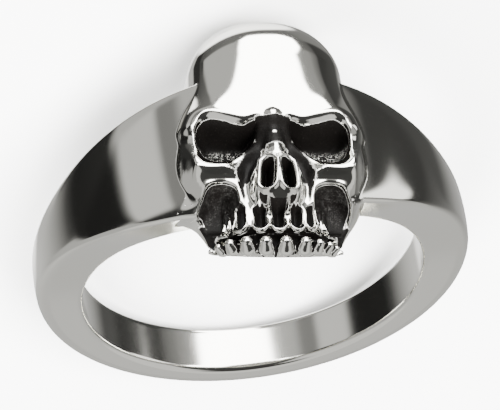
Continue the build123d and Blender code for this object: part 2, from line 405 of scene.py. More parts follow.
def arch_share(x, along, arch):
    """1 on an arch and less inside it, at distances across and along from the head's middle."""
    half, depth, squareness = arch
    return ((np.abs(x) / half) ** squareness + (np.abs(along) / depth) ** squareness) ** (1 / squareness)


# An arch is followed in this many steps, and its direction is taken over this reach
ARCH_STEPS, ARCH_REACH = 721, 0.05


def arch_spots(arch, places):
    """Points on an arch at distances along it from the middle, and the way outwards there."""
    half, depth, squareness = arch
    swing = np.linspace(-np.pi / 2, np.pi / 2, ARCH_STEPS)
    across = np.sign(swing) * half * np.abs(np.sin(swing)) ** (2 / squareness)
    along = -depth * np.abs(np.cos(swing)) ** (2 / squareness)
    run = np.concatenate([[0], np.cumsum(np.hypot(np.diff(across), np.diff(along)))])
    run -= run[len(run) // 2]
    x, y = np.interp(places, run, across), np.interp(places, run, along)
    after, before = np.add(places, ARCH_REACH), np.subtract(places, ARCH_REACH)
    dx = np.interp(after, run, across) - np.interp(before, run, across)
    dy = np.interp(after, run, along) - np.interp(before, run, along)
    size = np.hypot(dx, dy)
    return x, y, dy / size, -dx / size


def head_form(x, y, z, sizes):
    """The head without its features.

    Its level sections are rounded boxes, (|x|/a)^n + (|y|/b)^n = 1, with a, b and n following the
    height, and above the temples they close to a dome, as on an egg. The field is the share of the
    way to the surface, less 1, over its slope.
    """
    dome, base = sizes.dome / MM, (sizes.crown - sizes.dome) / MM
    half, depth, squareness = (natural_spline(HEAD_LEVELS[:, 0], HEAD_LEVELS[:, i], z) for i in (1, 2, 3))
    across, along = np.abs(x) / half, np.abs(y + sizes.axis / MM) / depth
    ring = np.maximum(across**squareness + along**squareness, TINIEST) ** (1 / squareness)
    slope_x = (across / ring) ** (squareness - 1) / half
    slope_y = (along / ring) ** (squareness - 1) / depth
    up = np.maximum(z - base, 0) / dome
    share = np.sqrt(ring**2 + up**2)
    slope = np.sqrt((slope_x**2 + slope_y**2) * (ring / share) ** 2 + (up / share / dome) ** 2)
    return (share - 1) / slope


# Half width of the band at places along Y. Columns: place, half width.
BAND_WIDTHS = np.array([(-13.50, 4.50), (-6.93, 2.30), (2.14, 1.55), (11.70, 1.50)])
# The edges' rounding changes over these shares of the way to the back
ROUNDING_CHANGES = (0.02, 0.5)
INNER_EDGE = 0.40
# The outer wall rolls over this much more close to its edges, by a high power of the height
EDGE_ROLL, EDGE_ROLL_POWER = 0.10, 8
# The front of the ring, this far to each side, is one field with the skull, in degrees
FRONT_TO = 48.0
BAND_STEPS, EDGE_STEPS, CORNER_STEPS = 700, 16, 8
# A rounded edge of this radius takes a blend of this share over it
BLEND_OF_EDGE = 1.17


def band_edges(towards, sizes):
    """Outer radius, the half widths inside and outside, and the outer edges' rounding.

    They follow the cosine of the angle from the front. The outer wall is a circle whose middle lies
    a little towards the skull.
    """
    hole, outer, offset = sizes.hole / 2 / MM, sizes.outer / MM, sizes.offset / MM
    far = offset * towards + np.sqrt((offset * towards) ** 2 + outer**2 - offset**2)
    inner = natural_spline(BAND_WIDTHS[:, 0], BAND_WIDTHS[:, 1], -hole * towards)
    wide = natural_spline(BAND_WIDTHS[:, 0], BAND_WIDTHS[:, 1], -far * towards)
    back = step_up(*ROUNDING_CHANGES, (1 - towards) / 2)
    rounding = (sizes.edge_front + (sizes.edge_back - sizes.edge_front) * back) / MM
    return far, inner, wide, rounding


def band_walls(x, y, z, sizes):
    """The band before its hole, as a field: an outer radius and two leaning sides, with rounded edges.

    The outer wall bulges by a parabola between its edges.
    """
    hole, crowning = sizes.hole / 2 / MM, sizes.crowning / MM
    radius = np.maximum(np.hypot(x, y), TINY)
    far, inner, wide, rounding = band_edges(-y / radius, sizes)
    lean = (wide - inner) / (far - hole)
    side = (np.abs(z) - inner - lean * (radius - hole)) / np.sqrt(1 + lean**2)
    outside = radius - far + crowning * (z / wide) ** 2 + EDGE_ROLL * (z / wide) ** EDGE_ROLL_POWER
    return smooth_most(outside, side, rounding * BLEND_OF_EDGE)


def with_hole(value, x, y, sizes):
    """A field with the finger hole cut through it."""
    return smooth_most(value, sizes.hole / 2 / MM - np.hypot(x, y), INNER_EDGE)


def band_surface(sizes):
    """The rest of the band as a grid: columns go round the hole's back and rows round the profile."""
    angle = np.linspace(math.radians(FRONT_TO), 2 * np.pi - math.radians(FRONT_TO), BAND_STEPS)
    far, inner, wide, rounding = band_edges(np.cos(angle), sizes)
    near = np.full_like(far, sizes.hole / 2 / MM)
    corners = [np.stack(corner, -1) for corner in ((near, -inner), (far, -wide), (far, wide), (near, inner))]
    edges = [np.full_like(angle, INNER_EDGE), rounding, rounding, np.full_like(angle, INNER_EDGE)]
    rows = []
    for k in range(4):
        here, before, after = corners[k], corners[k - 1], corners[(k + 1) % 4]
        come = (here - before) / np.linalg.norm(here - before, axis=-1, keepdims=True)
        go = (after - here) / np.linalg.norm(after - here, axis=-1, keepdims=True)
        edge = edges[k][:, None]
        for bend in np.linspace(0, np.pi / 2, CORNER_STEPS):
            rows.append(here - come * edge * (1 - math.sin(bend)) + go * edge * (1 - math.cos(bend)))
        start, end = here + go * edge, after - go * edges[(k + 1) % 4][:, None]
        for share in np.linspace(0, 1, EDGE_STEPS + 2)[1:-1]:
            rows.append(start + (end - start) * share)
    profile = np.stack(rows, 1)
    radius, height = profile[..., 0], profile[..., 1]
    return np.stack([radius * np.sin(angle)[:, None], -radius * np.cos(angle)[:, None], height], -1)


# Brow: a fine and a broad ridge, each with its height and width, and the heights over which the
# broad one grows. Cheekbone: height and width, then along its line where it starts, where it fades
# and by how much, and how far out it flattens and by how much.
BROW_FINE, BROW_BROAD, BROW_GROWS = (0.06, 0.40), (0.20, 0.95), (-0.1, 0.9)
CHEEKBONE_RISE, LINE_STARTS = (0.64, 0.74), (0, 0.3)
CHEEKBONE_FADES, CHEEKBONE_FADE = (0.62, 0.98), 0.85
CHEEKBONE_FLATTENS, CHEEKBONE_FLATNESS = (4.35, 4.95), 0.5
VALLEY_FALL = (-0.34, 0.46)


def ridges(x, deep, z):
    """The brow and the cheekbones."""
    side = np.abs(x)
    brow, _ = from_line(side, z, BROW)
    bone, share = from_line(side, z, CHEEKBONE)
    fade = step_up(*LINE_STARTS, share) * (1 - CHEEKBONE_FADE * step_up(*CHEEKBONE_FADES, share))
    fade = fade * (1 - CHEEKBONE_FLATNESS * step_up(*CHEEKBONE_FLATTENS, side))
    raised = bell(brow, *BROW_FINE) + bell(brow, *BROW_BROAD) * step_up(*BROW_GROWS, z)
    return raised + fade * bell(bone, *CHEEKBONE_RISE)


def valleys(x, deep, z):
    """The valleys beside the nose."""
    away, share = from_line(np.abs(x), z, VALLEY)
    return bell(away, *VALLEY_FALL) * step_up(*LINE_STARTS, share)


# Eggs: middle and radii
CHEEK_EGG = (3.3, -0.35, -3.0), (1.9, 0.8, 0.62)
BULB_EGG = (0, 0.13, -3.34), (1.45, 1.20, 1.86)
BUMP_EGG = (0, 0.20, 0.93), (0.50, 0.50, 0.62)
# The ridge of the nose: its ends, and its radius there
NOSE_ROD = (0, 0.50, 0.5), (0, -0.16, -1.60), 0.50, 0.60


def cheek(x, deep, z):
    """The cheeks, which fall back under the cheekbones."""
    return from_egg(np.abs(x), deep, z, *CHEEK_EGG)


def nose(x, deep, z):
    """The narrow ridge of the nose."""
    return from_rod(x, deep, z, *NOSE_ROD)


def bulb(x, deep, z):
    """The lower end of the nose."""
    return from_egg(x, deep, z, *BULB_EGG)


def bump(x, deep, z):
    """The bump where the brows meet."""
    return from_egg(x, deep, z, *BUMP_EGG)


# The rims of the sockets roll over more above and less at the outer corner. The base, and then each
# change's amount with the stretches across and up over which it comes and goes.
ROLL_BASE = 0.34
ROLL_CORNER, ROLL_CORNER_SIDE, ROLL_CORNER_UP = 0.22, (3.9, 4.4), (-1.4, -0.7)
ROLL_ABOVE, ROLL_ABOVE_SIDE, ROLL_ABOVE_END, ROLL_ABOVE_UP = 0.36, (1.2, 3.0), (3.5, 4.2), (-0.2, 0.6)
ROLL_INNER, ROLL_INNER_SIDE = 0.10, (1.6, 0.9)
# The rim moves in with the rolling, from where it rolls this much
RIM_SHIFT, RIM_SHIFT_FROM = 0.2, 0.12
# Slope of the walls, how much more they slope below and over which heights, the floor and its corner
SOCKET_SLOPE, SOCKET_SLOPE_BELOW, SOCKET_BELOW = 0.22, 0.30, (-0.3, -1.5)
SOCKET_FLOOR, SOCKET_CORNER = 2.3, 0.9


def rolling(x, z):
    """How widely the rim of a socket is rounded."""
    side = np.abs(x)
    outer = within(side, ROLL_ABOVE_SIDE, ROLL_ABOVE_END)
    tight = step_up(*ROLL_CORNER_SIDE, side) * step_up(*ROLL_CORNER_UP, z)
    above = ROLL_ABOVE * outer * step_up(*ROLL_ABOVE_UP, z)
    return ROLL_BASE - ROLL_CORNER * tight + above + ROLL_INNER * step_up(*ROLL_INNER_SIDE, side)


def sockets(x, deep, z):
    """The two eye sockets."""
    rim = from_outline(np.abs(x), z, SOCKET) + RIM_SHIFT * (rolling(x, z) - RIM_SHIFT_FROM)
    walls = rim + (SOCKET_SLOPE + SOCKET_SLOPE_BELOW * step_up(*SOCKET_BELOW, z)) * deep
    return smooth_most(walls, deep - SOCKET_FLOOR, SOCKET_CORNER)


# Nostrils: their middle line, radius, the slope of their walls and the place it is counted from,
# the floor and its corner. Their edges: height, width and distance from the middle line.
NOSTRIL_LINE, NOSTRIL_RADIUS = ((0.53, -2.50), (0.66, -3.80)), 0.38
NOSTRIL_SLOPE, NOSTRIL_SLOPE_FROM, NOSTRIL_FLOOR, NOSTRIL_CORNER = 0.32, -0.85, 0.6, 0.3
NOSTRIL_EDGE, NOSTRIL_EDGE_AT = (0.14, 0.17), 0.52


def nostrils(x, deep, z):
    """The two nostrils, which lean out at their feet."""
    slot = from_line(np.abs(x), z, NOSTRIL_LINE)[0] - NOSTRIL_RADIUS
    walls = slot + NOSTRIL_SLOPE * (deep - NOSTRIL_SLOPE_FROM)
    return smooth_most(walls, deep - NOSTRIL_FLOOR, NOSTRIL_CORNER)


def nostril_rims(x, deep, z):
    """The turned-up edges of the nostrils."""
    return bell(from_line(np.abs(x), z, NOSTRIL_LINE)[0] - NOSTRIL_EDGE_AT, *NOSTRIL_EDGE)


# Cheek hollows: slope of their walls, the floor and its corner
HOLLOW_SLOPE, HOLLOW_FLOOR, HOLLOW_CORNER = 0.15, 2.3, 0.7
# Mouth: height, how it curves up to the sides, half height, the back and its corner
MOUTH_HEIGHT, MOUTH_CURVE, MOUTH_HALF, MOUTH_BACK, MOUTH_CORNER = -6.36, 0.08, 0.38, 2.0, 0.15


def hollows(x, deep, z):
    """The hollows beside the upper teeth."""
    rim = from_outline(np.abs(x), z, HOLLOW)
    return smooth_most(rim + HOLLOW_SLOPE * deep, deep - HOLLOW_FLOOR, HOLLOW_CORNER)


def mouth(x, deep, z):
    """The dark gap in front of the gums, higher at its ends."""
    level = MOUTH_HEIGHT + MOUTH_CURVE * x**2
    return smooth_most(np.abs(z - level) - MOUTH_HALF, deep - MOUTH_BACK, MOUTH_CORNER)


# The jaw's underside slopes up to the finger hole, and more steeply behind. Columns: the depth where
# a plane starts, its slope and the slope's length. The first starts a little below the chin and the
# second at a height of its own, and they meet over the blend.
UNDER_FIRST, UNDER_SECOND = (1.2, 0.88, 1.33), (2.7, 3.2, 3.35)
UNDER_DROP, UNDER_SECOND_HEIGHT, UNDER_BLEND = 0.05, -6.1, 0.4
# The jaw's lower edge: its height over the chin, and how it curves up to a distance to each side
JAW_LIFT, JAW_CURVE, JAW_CURVE_TO, JAW_CURVE_POWER = 0.55, 0.05, 4, 1.5
# The seam between skull and band: its fillet above, how much wider it gets below and where
SEAM_FILLET, SEAM_WIDER, SEAM_WIDENS = 0.07, 0.75, (-2.9, -4.3)
# Gums: their arch, its scale, middle height, half height and corner. They stay clear of the underside.
INNER_GUM = (2.3, 2.5, 2.6), 2.4, -6.3, 1.0, 0.1
UPPER_GUM = UPPER_ARCH, UPPER_ARCH[1], -4.3, 1.55, 0.2
GUM_CLEAR = 0.3
# The lower gum's front: its share of the arch, height, curve and corner
GUM_FRONT_SHARE, GUM_FRONT_HEIGHT, TEETH_CURVE, GUM_FRONT_CORNER = 0.87, -6.45, 0.035, 0.1
# Upper teeth: how they rise towards the ends of the arch, the reach, bottom and top of their boxes,
# the place out and the height of the root and the tip, the root's share of the width, and how flat
# they are, with the slope that comes from it
UPPER_RISE, UPPER_REACH, UPPER_BOTTOM, UPPER_TOP = 0.40, 1.0, -7.0, -3.3
UPPER_ROOT, UPPER_TIP = (-0.50, -4.7), (0.12, -5.90)
UPPER_ROOT_SHARE, UPPER_FLAT, UPPER_SLOPE = 0.65, 1.5, 1.25
# The slots in them: ends, share of the width, slope of the walls, the floor, its corner and the slope
SLOT_TOP, SLOT_BOTTOM, SLOT_SHARE = -4.90, -5.74, 0.66
SLOT_LEAN, SLOT_FLOOR, SLOT_CORNER, SLOT_SLOPE = 0.55, 0.42, 0.25, 1.12
# Lower teeth: the same, with the foot and the top
LOWER_REACH, LOWER_BOTTOM, LOWER_TOP = 1.2, -8.4, -5.4
LOWER_FOOT, LOWER_TIP, LOWER_FOOT_SHARE, LOWER_TIP_SHARE = (-0.28, -7.00), (0.0, -6.84), 0.96, 0.70


def ring_field(x, y, z, sizes, band, filled=False):
    """The front of the ring as a field: skull and shoulders joined, with the relief cut.

    The coordinates are the skull's own. With filled, the recesses that are blackened stay solid.
    """
    chin, back = sizes.chin / MM, sizes.depth / MM
    deep = y + sizes.axis / MM + back
    carving = Carving(x, deep, z, head_form(x, y, z, sizes), filled)

    def underside(x, deep, z):
        start, rise, slope = UNDER_FIRST
        first = (z + chin + UNDER_DROP - rise * (deep - start)) / slope
        start, rise, slope = UNDER_SECOND
        second = (z - UNDER_SECOND_HEIGHT - rise * (deep - start)) / slope
        return smooth_least(first, second, UNDER_BLEND)

    def below_jaw(x, deep, z):
        return z + chin - JAW_LIFT - JAW_CURVE * np.minimum(np.abs(x), JAW_CURVE_TO) ** JAW_CURVE_POWER

    def gum(x, deep, z, arch, scale, middle, half, corner):
        wall = (arch_share(x, deep - back, arch) - 1) * scale
        made = smooth_most(wall, np.abs(z - middle) - half, corner)
        return np.maximum(made, GUM_CLEAR - underside(x, deep, z))

    def inner_gum(x, deep, z):
        return gum(x, deep, z, *INNER_GUM)

    def upper_gum(x, deep, z):
        return gum(x, deep, z, *UPPER_GUM)

    def gum_front(x, deep, z):
        wall = (GUM_FRONT_SHARE - arch_share(x, deep - back, LOWER_ARCH)) * LOWER_ARCH[1]
        return smooth_most(wall, z - GUM_FRONT_HEIGHT - TEETH_CURVE * x**2, GUM_FRONT_CORNER)

    carving.raise_by(ridges, "ridges")
    if not filled:
        carving.raise_by(valleys, "valleys")
    carving.cut(cheek, "cheek", blend=0.5)
    carving.cut(underside, "underside", blend=0.2)
    carving.cut(below_jaw, "below_jaw", blend=0.1)

    # The band joins the skull, with a tight seam above and a wide fillet at the chin's side
    turned = np.stack([x, y, z], -1) @ HEAD_TURN.T
    shoulder = band_walls(turned[..., X], turned[..., Y], turned[..., Z], band)
    carving.value = smooth_least(carving.value, shoulder, SEAM_FILLET + SEAM_WIDER * step_up(*SEAM_WIDENS, z))

    carving.cut(sockets, "sockets", blend=rolling(x, z), recess=True)
    carving.add(nose, "nose", blend=0.40)
    carving.add(bulb, "bulb", blend=0.32)
    carving.add(bump, "bump", blend=0.22)
    carving.raise_by(nostril_rims, "nostril_rims")
    carving.cut(nostrils, "nostrils", blend=0.07, recess=True)
    carving.cut(hollows, "hollows", blend=0.14, recess=True)
    carving.cut(mouth, "mouth", blend=0.08, recess=True)
    carving.add(inner_gum, "inner_gum", blend=0.08)
    carving.add(upper_gum, "upper_gum", blend=0.2)

    def teeth(arch, rows, lifts, reach, bottom, top):
        """Each tooth's box, its lift and half width, and how points turn into its own frame."""
        places, halves = zip(*rows)
        for sx, sy, ox, oy, half in zip(*arch_spots(arch, places), halves):
            box = (sx - reach, back + sy - reach, bottom), (sx + reach, back + sy + reach, top)

            def turned_in(x, deep, sx=sx, sy=sy, ox=ox, oy=oy):
                along = deep - back - sy
                return (x - sx) * -oy + along * ox, (x - sx) * ox + along * oy

            yield box, lifts(sx, sy), half, turned_in

    # Upper teeth: each a long drop with a slot down its middle
    def upper_lift(sx, sy):
        return UPPER_RISE * (sy + UPPER_ARCH[1])

    upper = list(teeth(UPPER_ARCH, UPPER_TEETH, upper_lift, UPPER_REACH, UPPER_BOTTOM, UPPER_TOP))
    for box, lift, half, turned_in in upper:

        def tooth(x, deep, z):
            side, out = turned_in(x, deep)
            root, tip = (0, UPPER_ROOT[0], UPPER_ROOT[1] + lift), (0, UPPER_TIP[0], UPPER_TIP[1] + lift)
            return from_rod(side, out * UPPER_FLAT, z, root, tip, UPPER_ROOT_SHARE * half, half) / UPPER_SLOPE

        carving.add(tooth, box, blend=0.30 if filled else 0.06)
    for box, lift, half, turned_in in upper:

        def slot(x, deep, z):
            side, out = turned_in(x, deep)
            way = from_line(side, z, ((0, SLOT_TOP + lift), (0, SLOT_BOTTOM + lift)))[0] - SLOT_SHARE * half
            return smooth_most(way - SLOT_LEAN * out, -out - SLOT_FLOOR, SLOT_CORNER) / SLOT_SLOPE

        carving.cut(slot, box, blend=0.06, recess=True)
    carving.cut(gum_front, "gum_front", blend=0.06, recess=True)

    # Lower teeth: upright bullets along the jaw, down to its lower edge
    def lower_lift(sx, sy):
        return TEETH_CURVE * sx**2

    for box, lift, half, turned_in in teeth(
        LOWER_ARCH, LOWER_TEETH, lower_lift, LOWER_REACH, LOWER_BOTTOM, LOWER_TOP
    ):

        def peg(x, deep, z):
            side, out = turned_in(x, deep)
            foot, tip = (0, LOWER_FOOT[0], LOWER_FOOT[1] + lift), (0, LOWER_TIP[0], LOWER_TIP[1] + lift)
            return from_rod(side, out, z, foot, tip, LOWER_FOOT_SHARE * half, LOWER_TIP_SHARE * half)

        carving.add(peg, box, blend=0.60 if filled else 0.04)
    carving.cut(underside, "under_teeth", blend=0.02)
    return with_hole(carving.value, turned[..., X], turned[..., Y], band)


# Surfaces

# Points worked out at a time
CHUNK = 600000


def chunked(field, points):
    """The field at many points, worked out in runs that fit in memory."""
    parts = [field(*points[i : i + CHUNK].T) for i in range(0, len(points), CHUNK)]
    return np.concatenate(parts) if parts else np.zeros(0)


# How many cells a coarse one spans, and within how many coarse cells the surface counts as near
COARSE = 4
NEAR_STEPS = 2.3


def field_surface(field, low, high, cell):
    """The surface where a field is zero, as points and four-sided faces that look outwards.

    The field is sampled on a coarse lattice, and then on a fine one wherever the coarse values say that
    the surface may be near. Each fine cell with corners of both signs gets one point, the mean of the
    places where its edges cross the surface. Each lattice edge that crosses gets a face through the
    points of the four cells round it.
    """
    cells = (np.ceil((np.array(high) - low) / cell / COARSE) * COARSE).astype(int)
    axes = [low[i] + cell * np.arange(cells[i] + 1) for i in range(3)]
    coarse = np.stack(np.meshgrid(*[axis[::COARSE] for axis in axes], indexing="ij"), -1)
    rough = chunked(field, coarse.reshape(-1, 3)).reshape(coarse.shape[:3])
    close = np.abs(rough) < NEAR_STEPS * COARSE * cell
    active = np.zeros(tuple(n - 1 for n in rough.shape), bool)
    for i, j, k in np.ndindex(2, 2, 2):
        active |= close[i : i + active.shape[0], j : j + active.shape[1], k : k + active.shape[2]]
    nearest = rough
    for axis in range(3):
        active, nearest = np.repeat(active, COARSE, axis), np.repeat(nearest, COARSE, axis)
    near = np.zeros(tuple(n + 1 for n in cells), bool)
    near[:-1, :-1, :-1] = active
    for axis in range(3):
        near |= np.roll(near, 1, axis)
    shape = near.shape
    value = np.where(nearest[: shape[0], : shape[1], : shape[2]] < 0, -1, 1).astype(np.float32)
    i, j, k = np.nonzero(near)
    value[i, j, k] = chunked(field, np.stack([axes[0][i], axes[1][j], axes[2][k]], -1))

    solid = value < 0
    corners = list(np.ndindex(2, 2, 2))
    nx, ny, nz = cells
    count = np.zeros((nx, ny, nz), np.int8)
    for a, b, c in corners:
        count += solid[a : a + nx, b : b + ny, c : c + nz]
    ci, cj, ck = np.nonzero((count > 0) & (count < len(corners)))
    corner_values = np.stack([value[ci + a, cj + b, ck + c] for a, b, c in corners], -1)
    offsets = np.array(corners, float)
    total = np.zeros((len(ci), 3))
    crossings = np.zeros(len(ci))
    for first in range(len(corners)):
        for second in range(first + 1, len(corners)):
            if np.abs(offsets[first] - offsets[second]).sum() != 1:
                continue
            v0, v1 = corner_values[:, first], corner_values[:, second]
            crosses = (v0 < 0) != (v1 < 0)
            t = np.where(crosses, v0 / np.where(crosses, v0 - v1, 1), 0)[:, None]
            total += crosses[:, None] * (offsets[first] + t * (offsets[second] - offsets[first]))
            crossings += crosses
    points = np.array(low) + cell * (np.stack([ci, cj, ck], -1) + total / crossings[:, None])

    index = np.full((nx, ny, nz), -1, np.int32)
    index[ci, cj, ck] = np.arange(len(ci))
    faces = []
    for axis in range(3):
        order = axis, (axis + 1) % 3, (axis + 2) % 3
        ahead = np.moveaxis(solid, order, (0, 1, 2))
        cell_index = np.moveaxis(index, order, (0, 1, 2))
        here, there = ahead[:-1, 1:-1, 1:-1], ahead[1:, 1:-1, 1:-1]
        p, q, r = np.nonzero(here != there)
        outward = here[p, q, r]
        ring = np.stack([cell_index[p, q + u, r + v] for u, v in ((0, 0), (1, 0), (1, 1), (0, 1))], -1)
        faces.append(np.where(outward[:, None], ring, ring[:, ::-1]))
    return points, np.concatenate(faces)


# Slopes are taken over this reach, and points settle with a finer one, a share of the cell. A step
# is at most a share of the cell, and a slope counts as no less than the least.
SLOPE_REACH = 0.015
SETTLE_REACH, SETTLE_STEP, LEAST_SLOPE = 0.25, 0.5, 0.05


def slopes(field, points, reach):
    """The field's slope at points, from its values a small reach to each side."""
    columns = []
    for shift in reach * np.eye(3):
        columns.append((chunked(field, points + shift) - chunked(field, points - shift)) / (2 * reach))
    return np.stack(columns, -1)


def unit(vectors):
    """Vectors made one long."""
    return vectors / np.maximum(np.linalg.norm(vectors, axis=-1, keepdims=True), TINIEST)


def settled(field, points, cell, rounds=3):
    """Points moved along the field's slope until they lie on its surface."""
    for _ in range(rounds):
        slope = slopes(field, points, SETTLE_REACH * cell)
        size = np.maximum((slope**2).sum(-1), LEAST_SLOPE)
        move = -(chunked(field, points) / size)[:, None] * slope
        distance = np.maximum(np.linalg.norm(move, axis=-1, keepdims=True), TINIEST)
        points = points + move * np.minimum(1, SETTLE_STEP * cell / distance)
    return points


def grid_faces(columns, rows):
    """Four-sided faces of a grid whose rows close and whose columns don't."""
    column, row = np.meshgrid(np.arange(columns - 1), np.arange(rows), indexing="ij")
    after, above = column + 1, (row + 1) % rows
    ring = [column * rows + row, after * rows + row, after * rows + above, column * rows + above]
    return np.stack([corner.ravel() for corner in ring], -1)


def metal_piece(name, points, faces, marks, normals, material):
    """A mesh piece that stands for the ring's solid, with its marks as values on its points."""
    mesh = bpy.data.meshes.new(name)
    mesh.vertices.add(len(points))
    mesh.vertices.foreach_set("co", laid_down(points).astype(np.float32).ravel())
    mesh.loops.add(faces.size)
    mesh.loops.foreach_set("vertex_index", faces.astype(np.int32).ravel())
    mesh.polygons.add(len(faces))
    mesh.polygons.foreach_set("loop_start", np.arange(0, faces.size, 4, dtype=np.int32))
    mesh.polygons.foreach_set("use_smooth", np.ones(len(faces), bool))
    mesh.update(calc_edges=True)
    for mark, values in marks.items():
        layer = mesh.attributes.new(mark, "FLOAT", "POINT")
        layer.data.foreach_set("value", values.astype(np.float32))
    mesh.normals_split_custom_set_from_vertices((normals @ REST_TURN.T).tolist())
    piece = bpy.data.objects.new(name, mesh)
    bpy.context.scene.collection.objects.link(piece)
    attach(piece, "root")
    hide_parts(NODE)
    mesh.materials.append(material)


# Materials

class Nodes:
    """Adds nodes to a material or a world and links them."""

    def __init__(self, owner):
        owner.use_nodes = True
        self.tree = owner.node_tree
        self.tree.nodes.clear()

    def add(self, kind, settings=None, **inputs):
        """A node of a type, with its settings first and then its sockets' values or links."""
        node = self.tree.nodes.new(kind)
        for key, value in (settings or {}).items():
            setattr(node, key, value)
        for key, value in inputs.items():
            socket = self.socket_of(node, key)
            if isinstance(value, Value):
                self.tree.links.new(value.socket, socket)
            elif isinstance(value, bpy.types.NodeSocket):
                self.tree.links.new(value, socket)
            else:
                socket.default_value = value
        return node

    @staticmethod
    def socket_of(node, key):
        """A node's input by its name, in_0 for its first one, or in_1 and so on."""
        if key.startswith("in_"):
            return node.inputs[int(key[3:])]
        return node.inputs[key.replace("_", " ")]

    def value(self, output, *arguments, **inputs):
        """The number at an output of a new node."""
        return Value(self, self.add(*arguments, **inputs).outputs[output])

    def ramp(self, share, stops):
        """A number that follows a share from 0 to 1. Stops: share and number."""
        node = self.add("ShaderNodeValToRGB", None, in_0=share)
        elements = node.color_ramp.elements
        while len(elements) < len(stops):
            elements.new(1)
        for element, (place, number) in zip(elements, stops):
            element.position = place
            element.color = (number, number, number, 1)
        return Value(self, node.outputs["Color"])


class Value:
    """A socket's number, with the usual signs of arithmetic."""

    def __init__(self, nodes, socket):
        self.nodes, self.socket = nodes, socket

    def math(self, operation, *others):
        """A Math node with this number first."""
        inputs = {f"in_{i}": number for i, number in enumerate((self, *others))}
        return self.nodes.value(0, "ShaderNodeMath", {"operation": operation}, **inputs)

    def __add__(self, other):
        return self.math("ADD", other)

    __radd__ = __add__

    def __mul__(self, other):
        return self.math("MULTIPLY", other)

    __rmul__ = __mul__

    def __sub__(self, other):
        return self.math("SUBTRACT", other)

    def __rsub__(self, other):
        return (self * -1) + other

    def window(self, low, high, soft):
        """1 from low to high, falling smoothly to 0 over soft to each side."""
        fallen = self.between(high - soft / 2, high + soft / 2)
        return self.between(low - soft / 2, low + soft / 2) * (1 - fallen)

    def held(self):
        """The number kept from 0 to 1."""
        return self.nodes.value(0, "ShaderNodeClamp", None, in_0=self)

    def between(self, low, high):
        """0 at low and 1 at high, with a smooth step between."""
        settings = {"interpolation_type": "SMOOTHSTEP"}
        return self.nodes.value(0, "ShaderNodeMapRange", settings, in_0=self, in_1=low, in_2=high)


# Noises on the metal: scale and detail
NOISES = {
    "fine": (9000, 3), "patch": (1500, 2), "specks": (16000, 2), "cast": (7000, 4), "scratch": (2600, 4),
}
SCRATCH_STRETCH = (1.0, 1.0, 14.0)
PIT_SCALE, PIT_SIZES, PIT_PLACES = 4200, (0.10, 0.20), (0.85, 1.0)
# Worn specks: how much the patches add, and the noise over which they come
WORN_PATCH, WORN_FROM = 0.4, (0.72, 0.84)
# Edges of the dark patina and painted shade: how much the two noises move them, and the values over which it
# comes
DARK_PATCH, DARK_FINE, DARK_FROM, DARK_POWER = 0.5, 0.35, (0.28, 0.58), 3
DARK_ROUGHNESS, WORN_ROUGHNESS, SHEEN = 0.45, 0.5, 0.10
# Heights of the relief: of the hairlines, and of the cast grain where it is black and on the floors
HAIRLINE_HEIGHT, CAST_HEIGHT, FLOOR_HEIGHT = 0.02, 0.5, 1.5
BUMP_STRENGTH, BUMP_DISTANCE = 0.6, 0.00006
BAND_HAIRLINES, SKULL_HAIRLINES = 0.10, 0.03
MARKS = ("blackening", "grain", "pits")


def silver_material(look, name, hairlines):
    """Polished silver whose blackened places show through cast grain.

    The first mark darkens the metal and roughens it, broken up by fine noise: mostly the dark patina of
    the recesses, and also painted shade between the lower teeth and a painted dark reflection on the nose's
    bridge. The mark grain gives the cast floors their bright worn specks. Fine hairlines dull the polish.
    """
    material = bpy.data.materials.new(name)
    nodes = Nodes(material)
    place = nodes.add("ShaderNodeTexCoord").outputs["Object"]
    stretched = nodes.add("ShaderNodeMapping", None, Vector=place, Scale=SCRATCH_STRETCH).outputs[0]
    noise = {}
    for kind, (scale, detail) in NOISES.items():
        where = stretched if kind == "scratch" else place
        noise[kind] = nodes.value("Fac", "ShaderNodeTexNoise", None, Vector=where, Scale=scale, Detail=detail)
    painted = [nodes.value("Fac", "ShaderNodeAttribute", {"attribute_name": mark}) for mark in MARKS]
    black, grain, pitted = painted
    dots = nodes.value("Distance", "ShaderNodeTexVoronoi", None, Vector=place, Scale=PIT_SCALE)
    pit = (1 - dots.between(*PIT_SIZES)) * (noise["patch"] + pitted).between(*PIT_PLACES)
    worn = (noise["specks"] + noise["patch"] * WORN_PATCH).between(*WORN_FROM) * grain
    broken = black + (noise["patch"] - 0.5) * DARK_PATCH + (noise["fine"] - 0.5) * DARK_FINE
    dark_patina_and_shade = (broken.between(*DARK_FROM) * (1 - worn) + pit).held()
    cover = 1 - (1 - dark_patina_and_shade).math("POWER", DARK_POWER)
    mixed = nodes.add(
        "ShaderNodeMix",
        {"data_type": "RGBA"},
        in_0=cover,
        in_6=(*look.silver, 1),
        in_7=(*look.dark_patina_and_shade, 1),
    ).outputs[2]
    polish = (look.polish + hairlines / 2) + (noise["scratch"] - 0.5) * hairlines
    rough = polish + cover * DARK_ROUGHNESS + worn * WORN_ROUGHNESS
    cast = noise["cast"] * (cover * CAST_HEIGHT + grain * FLOOR_HEIGHT)
    height = noise["scratch"] * (HAIRLINE_HEIGHT * hairlines) + cast
    bump = nodes.add("ShaderNodeBump", None, Strength=BUMP_STRENGTH, Distance=BUMP_DISTANCE, Height=height)
    shader = nodes.add(
        "ShaderNodeBsdfPrincipled",
        None,
        Base_Color=mixed,
        Metallic=1 - cover,
        Specular_IOR_Level=SHEEN,
        Roughness=rough.held(),
        Normal=bump.outputs[0],
    )
    nodes.add("ShaderNodeOutputMaterial", None, Surface=shader.outputs[0])
    return material


TABLE_ROUGHNESS = 0.75


